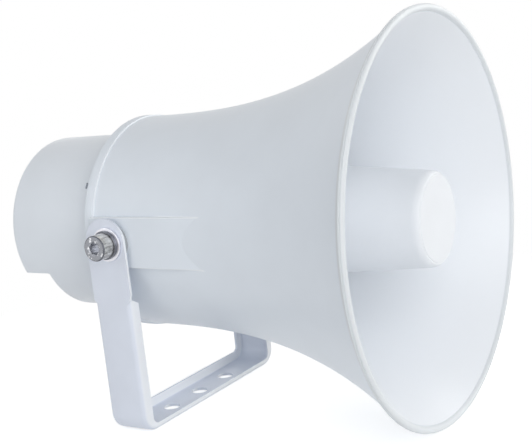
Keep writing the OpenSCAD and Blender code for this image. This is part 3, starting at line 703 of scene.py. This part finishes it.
def make_cover():
    obj = cut(to_object("cover_shell", turned(cover_outside(), 160)), recess(0))
    hollow = cut(to_object("hollow", turned(cover_cavity(), 96)), recess(COVER_WALL))
    inside = bmesh.new()
    inside.from_mesh(hollow.data)
    bpy.data.objects.remove(hollow)
    cut(obj, inside)
    ahead = (1, 0, 0)
    for angle in map(math.radians, SCREW_ANGLES):
        y, z = SCREW_RING * math.cos(angle), SCREW_RING * math.sin(angle)
        join(obj, peg(horn(X_COVER + BOSS_ROOT, y, z), ahead, BOSS_R, X_BOSS - X_COVER - BOSS_ROOT))
        cut(obj, peg(horn(X_COVER - PAST, y, z), ahead, SCREW_HEAD_R, X_BOSS - BOSS_FLOOR - X_COVER + PAST),
            peg(horn(X_COVER, y, z), ahead, SCREW_R, X_BOSS + PAST - X_COVER))
    cut(obj, pry_slot(), peg(horn(X_RECESS - PAST, 0, GLAND_Z), ahead, GLAND_R, COVER_WALL + 2 * PAST))
    return finished(obj, "horn", "white_plastic", "rear_cover")


# Bracket
def channel():
    """Section of the strip: (across, inwards from the outer face)."""
    h, r, t, bend = STRIP_W / 2, FOLD_R, SHEET, FOLD_R - SHEET

    def corner(side, radius, start, end):
        turns = [math.radians(start + (end - start) * i / 6) for i in range(7)]
        return [(side * (h - r) + radius * math.cos(a), r + radius * math.sin(a)) for a in turns]
    return ([(-h, FOLD_DEPTH)] + corner(-1, r, 180, 270) + corner(1, r, 270, 360)
            + [(h, FOLD_DEPTH), (h - t, FOLD_DEPTH)] + corner(1, bend, 360, 270) + corner(-1, bend, 270, 180)
            + [(-h + t, FOLD_DEPTH)])


def folded_strip():
    """The U of the bracket: an arm, a bend, the base, a bend and the other arm."""
    bm = bmesh.new()
    verts, edges = closed_loop(bm, [Vector((x, -ARM_OUT + d, FOLD_TOP)) * MM for x, d in channel()])
    bm.faces.new(verts)

    def push(edges, step):
        moved = bmesh.ops.extrude_edge_only(bm, edges=edges)["geom"]
        bmesh.ops.translate(bm, vec=Vector(step) * MM, verts=of_kind(moved, bmesh.types.BMVert))
        return of_kind(moved, bmesh.types.BMEdge)

    def bend(edges, y):
        verts = list(dict.fromkeys(v for e in edges for v in e.verts))
        last = bmesh.ops.spin(bm, geom=verts + edges, cent=Vector((0, y, BEND_R)) * MM, axis=(1, 0, 0),
                              angle=math.pi / 2, steps=14)["geom_last"]
        return of_kind(last, bmesh.types.BMEdge)
    corner = ARM_OUT - BEND_R
    edges = push(edges, (0, 0, BEND_R - FOLD_TOP))
    edges = bend(edges, -corner)
    edges = push(edges, (0, 2 * corner, 0))
    edges = bend(edges, corner)
    edges = push(edges, (0, 0, FOLD_TOP - BEND_R))
    bmesh.ops.contextual_create(bm, geom=edges)
    return clean(bm)


def ear(side):
    """A flat ear with a round top, its rear edge flush with the arm's."""
    rear, radius, foot = -STRIP_W / 2, EAR_W / 2, FOLD_TOP - 0.6
    middle, top = rear + radius, PIVOT_H + EAR_RISE
    crown = [(middle + radius * math.cos(math.radians(a)), top + radius * math.sin(math.radians(a)))
             for a in range(0, 181, 5)]
    root = FOLD_TOP - FOLD_TAPER
    outline = ([(rear + FOLD_R, root), (-rear - FOLD_R, root), (-rear, foot), (-rear, FOLD_TOP),
                (rear + EAR_W, FOLD_TOP + FOLD_R)] + crown + [(rear, foot)])
    return prism([(x, side * ARM_OUT, z) for x, z in outline], (0, -side * SHEET, 0))


def fold_taper(side):
    """A wedge that slopes the top ends of an arm's folds."""
    x, inner_y = -STRIP_W / 2 - PAST, side * (ARM_OUT - SHEET)
    tip = side * (ARM_OUT - SHEET - FOLD_DEPTH)
    return prism([(x, inner_y, FOLD_TOP + PAST), (x, tip, FOLD_TOP + PAST), (x, tip, FOLD_TOP - FOLD_TAPER),
                  (x, inner_y, FOLD_TOP - 0.3)], (STRIP_W + 2 * PAST, 0, 0))


def front_notch():
    """What the base's front fold is cut down by, with round lower corners at the arms."""
    half, reach = STRIP_W / 2, ARM_OUT - FOLD_DEPTH
    notch = block((half - SHEET - 0.4, -reach, LIP_H), (half + PAST, reach, NOTCH_TOP))
    low = [e for e in notch.edges if all(abs(v.co.z - LIP_H * MM) < 1e-6 for v in e.verts)
           and abs(e.verts[0].co.y - e.verts[1].co.y) < 1e-6]
    return rounded(notch, low, LIP_CORNER, 8)


def make_bracket():
    obj = to_object("bracket_steel", folded_strip())
    for side in (-1, 1):
        join(obj, ear(side))
        cut(obj, fold_taper(side))
    cut(obj, front_notch())
    for place in (-1, 0, 1):
        cut(obj, peg((0, place * HOLE_PITCH, -PAST), (0, 0, 1), HOLE_R, SHEET + 2 * PAST, 64))
    cut(obj, peg((PIVOT_X, -ARM_OUT - PAST, PIVOT_H), (0, 1, 0), BOLT_R + 0.06, 2 * (ARM_OUT + PAST), 64))
    return finished(obj, "bracket", "white_paint", "bracket", angle=25)


# Pivot hardware
def side_name(side):
    return "left" if side > 0 else "right"


def make_bolt(side):
    under = ARM_OUT + FLAT_T + SPRING_T
    face, tip = under + HEAD_H, under - BOLT_L
    outline = ([(tip, 0), (tip, BOLT_R - BOLT_TIP), (tip + BOLT_TIP, BOLT_R), (under, BOLT_R),
                (under, HEAD_R - HEAD_UNDER_EDGE), (under + HEAD_UNDER_EDGE, HEAD_R)]
               + arc(face - HEAD_ROUND, HEAD_R - HEAD_ROUND, HEAD_ROUND, 0, 90, 6) + [(face, 0)])
    outwards = (0, side, 0)
    obj = to_object("bolt_" + side_name(side), turned(outline, 96, outwards))
    key = SOCKET_AF / 2 / math.cos(math.pi / 6)
    bottom = horn(0, side * (face - SOCKET_DEPTH), 0)
    low, high = face - SOCKET_FUNNEL, face + 0.1
    funnel = [(low, 0), (low, key - 0.1), (high, key + 0.5), (high, 0)]
    cut(obj, peg(bottom, outwards, key, SOCKET_DEPTH + PAST, sides=6, turn=SOCKET_TURN),
        turned(funnel, 48, outwards))
    return finished(obj, "horn", "stainless", "pivot_bolts", look=bolt_steel)


def make_flat_washer(side):
    low, high, edge = ARM_OUT, ARM_OUT + FLAT_T, FLAT_EDGE
    bore = BOLT_R + 0.15
    outline = ([(low, bore), (low, FLAT_R - edge)] + arc(low + edge, FLAT_R - edge, edge, -90, 0, 3)[1:]
               + arc(high - edge, FLAT_R - edge, edge, 0, 90, 3) + [(high, bore)])
    obj = to_object("flat_washer_" + side_name(side), turned(outline, 96, (0, side, 0)))
    # The flat washer's paler steel is painted light
    return finished(obj, "horn", "stainless", "flat_washers", look=lit_steel)


def make_spring_washer(side):
    """A ring with a gap in it."""
    low, high, edge = ARM_OUT + FLAT_T, ARM_OUT + FLAT_T + SPRING_T, SPRING_EDGE
    bore = BOLT_R + 0.1
    outline = [(low, bore), (low, SPRING_R - edge), (low + edge, SPRING_R), (high - edge, SPRING_R),
               (high, SPRING_R - edge), (high, bore)]
    obj = to_object("spring_washer_" + side_name(side),
                    turned(outline, 90, (0, side, 0), SPRING_ARC, SPRING_START))
    # The spring washer's darker steel is painted shade
    return finished(obj, "horn", "stainless", "spring_washers", look=shaded_steel)


make_bell()
make_cup()
make_cover()
make_bracket()
for side in (-1, 1):
    make_bolt(side)
    make_flat_washer(side)
    make_spring_washer(side)


# Everything else keeps its CAD shape
for piece in frame["record"]["subparts"]:
    node = frame["nodes"][piece["node"]]
    look = grey_rubber if piece["node"] == "friction_washers" else FINISHES[piece["material_slot"]]
    node.data.materials.clear()
    node.data.materials.append(look.material)


# Floor and light, in metres and watts. A lamp has a name, a place, what it aims at, a width, a power and a
# colour.
FLOOR_HALF = 6
FLOOR_MIDDLE = (0.04, 0.03, 0)
SHADOW_GLOW = 0.55
LAMPS = [
    ("front_right", (1.3, -1.1, 1.0), (0.05, 0, 0.11), 1.2, 6.5, (1.0, 1.0, 1.0)),
    ("low_front", (1.4, -0.9, 0.12), (0.05, 0, 0.1), 0.9, 7.6, (1.0, 1.0, 1.0)),
    ("left", (-0.8, -1.6, 0.9), (0, 0, 0.1), 1.2, 4.8, (0.9, 0.95, 1.0)),
    ("far_side", (0.9, 1.5, 0.7), (0.1, 0, 0.1), 1.4, 7.5, (1.0, 0.99, 0.97)),
    ("far_front", (1.5, 0.9, 0.3), (0.08, 0, 0.1), 1.9, 5.0, (1.0, 0.99, 0.97)),
    ("rear", (-1.6, 1.0, 0.3), (-0.05, 0, 0.1), 1.0, 1.6, (1.0, 1.0, 1.0))]
ROOM_COLOUR = (1.0, 0.99, 0.98, 1)
ROOM_STRENGTH = 0.42

# The camera was fitted to the rim, cup, band, cover and bracket in the photograph: its direction and turn,
# its place from the middle of the mouth (back, across and up, in millimetres) and its focal length
AZIMUTH, ELEVATION, ROLL = math.radians(32.97), math.radians(9.97), math.radians(-6.34)
CAMERA_BACK, CAMERA_ACROSS, CAMERA_UP = 522.99, -85.80, -2.57
FOCAL_PX, IMAGE_PX = 1058.04, 532
SENSOR = 36


def floor_finish():
    """A pale floor: it takes the shadow near the object and turns to the white background further out."""
    f = Finish("floor_white")
    f.shader(Base_Color=(0.87, 0.87, 0.87, 1), Roughness=0.9)
    matt = Sock(f, f.bsdf.outputs[0])
    glow = f.add("ShaderNodeEmission", inputs={"Color": (1, 1, 1, 1), "Strength": SHADOW_GLOW})
    white = f.add("ShaderNodeEmission", inputs={"Color": (1, 1, 1, 1), "Strength": 1.0})
    away = f.vector("DISTANCE", f.spot(), FLOOR_MIDDLE, out="Value")
    near = f.add("ShaderNodeAddShader", inputs={0: matt, 1: glow})
    lit = f.add("ShaderNodeMixShader", inputs={0: f.fade(away, 160, 340), 1: near, 2: white})
    f.feed(f.output.inputs["Surface"], f.add("ShaderNodeMixShader", inputs={0: f.seen(), 1: matt, 2: lit}))
    return f


def make_floor():
    """A plain plane just under the part."""
    bm = bmesh.new()
    bmesh.ops.create_grid(bm, x_segments=1, y_segments=1, size=FLOOR_HALF)
    bmesh.ops.translate(bm, vec=(0, 0, -0.2 * MM), verts=bm.verts)
    floor = to_object("floor", bm)
    floor.data.materials.append(floor_finish().material)


def make_room():
    """Soft light from all sides, behind a white background."""
    world = bpy.data.worlds.new("studio")
    bpy.context.scene.world = world
    room = Finish("room", world)
    soft = room.add("ShaderNodeBackground", inputs={"Color": ROOM_COLOUR, "Strength": ROOM_STRENGTH})
    white = room.add("ShaderNodeBackground", inputs={"Color": (1, 1, 1, 1), "Strength": 1.0})
    both = room.add("ShaderNodeMixShader", inputs={0: room.seen(), 1: soft, 2: white})
    room.feed(room.output.inputs["Surface"], both)


def make_lamp(name, place, aim, size, power, colour):
    data = bpy.data.lights.new(name, "AREA")
    data.shape = "DISK"
    data.size = size
    data.energy = power
    data.color = colour
    obj = bpy.data.objects.new(name, data)
    obj.location = place
    obj.rotation_euler = (Vector(place) - Vector(aim)).to_track_quat("Z", "Y").to_euler()
    bpy.context.scene.collection.objects.link(obj)


def make_camera():
    back = Vector((math.sin(AZIMUTH) * math.cos(ELEVATION), -math.cos(AZIMUTH) * math.cos(ELEVATION),
                   math.sin(ELEVATION)))
    right = Vector((math.cos(AZIMUTH), math.sin(AZIMUTH), 0))
    up = back.cross(right)
    across = math.cos(ROLL) * right + math.sin(ROLL) * up
    upwards = -math.sin(ROLL) * right + math.cos(ROLL) * up
    from_mouth = back * CAMERA_BACK + across * CAMERA_ACROSS + upwards * CAMERA_UP
    eye = (Vector(horn(X_LIP, 0, 0)) + from_mouth) * MM
    data = bpy.data.cameras.new("camera")
    data.sensor_width = SENSOR
    data.lens = FOCAL_PX * SENSOR / IMAGE_PX
    data.clip_start = 10 * MM
    camera = bpy.data.objects.new("camera", data)
    camera.matrix_world = Matrix.Translation(eye) @ Matrix((across, upwards, back)).transposed().to_4x4()
    bpy.context.scene.collection.objects.link(camera)
    bpy.context.scene.camera = camera


make_floor()
make_room()
for row in LAMPS:
    make_lamp(*row)
make_camera()
bpy.context.scene.view_settings.view_transform = "Standard"
